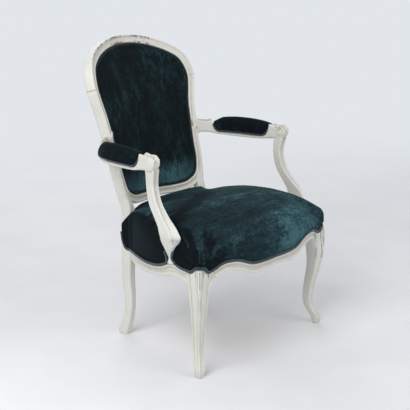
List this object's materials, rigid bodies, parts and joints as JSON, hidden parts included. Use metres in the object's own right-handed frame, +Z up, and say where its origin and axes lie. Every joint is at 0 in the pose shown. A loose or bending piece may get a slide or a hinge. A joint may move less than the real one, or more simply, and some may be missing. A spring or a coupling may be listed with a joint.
{
  "type": "upholstered open armchair",
  "caption": "Open armchair with a dished oval back, padded arms, cabriole legs, serpentine seat rails and a crowned velvet seat on a painted carved wood frame.",
  "frame": {"origin": "centre of the chair's footprint box, on the floor under the feet", "axes": "+Z up, the chair faces -Y and its back is towards +Y, +X is to the right as seen from the front"},
  "size_m": [0.65, 0.669, 0.9232],
  "materials": {
    "painted_frame": "aged off-white paint, satin, rubbed through to dark wood on the edges",
    "bare_beech": "raw beech, unpainted",
    "velvet": "deep teal cotton velvet with a brushed, streaky nap",
    "gimp": "teal grey double welt cord",
    "webbing": "jute webbing",
    "canvas": "linen canvas"
  },
  "bodies": {
    "root": {"arm_pad_left": "velvet", "arm_pad_right": "velvet", "arm_pad_welt_left": "gimp", "arm_pad_welt_right": "gimp", "arm_support_left": "painted_frame", "arm_support_peg_left": "bare_beech", "arm_support_peg_right": "bare_beech", "arm_support_right": "painted_frame", "armrest_left": "painted_frame", "armrest_right": "painted_frame", "back_cushion": "velvet", "back_outer_panel": "velvet", "back_stile_leg_left": "painted_frame", "back_stile_leg_right": "painted_frame", "back_web_1": "webbing", "back_web_2": "webbing", "back_web_3": "webbing", "back_web_4": "webbing", "back_welt_front": "gimp", "back_welt_rear": "gimp", "crest_rail": "painted_frame", "front_corner_block_left": "bare_beech", "front_corner_block_right": "bare_beech", "front_leg_left": "painted_frame", "front_leg_right": "painted_frame", "front_seat_rail": "painted_frame", "lower_back_rail": "painted_frame", "rear_corner_block_left": "bare_beech", "rear_corner_block_right": "bare_beech", "rear_seat_rail": "painted_frame", "seat_canvas": "canvas", "seat_cushion": "velvet", "seat_web_cross_1": "webbing", "seat_web_cross_2": "webbing", "seat_web_cross_3": "webbing", "seat_web_cross_4": "webbing", "seat_web_long_1": "webbing", "seat_web_long_2": "webbing", "seat_web_long_3": "webbing", "seat_web_long_4": "webbing", "seat_welt_front": "gimp", "seat_welt_left": "gimp", "seat_welt_right": "gimp", "side_seat_rail_left": "painted_frame", "side_seat_rail_right": "painted_frame"}
  },
  "joints": []
}
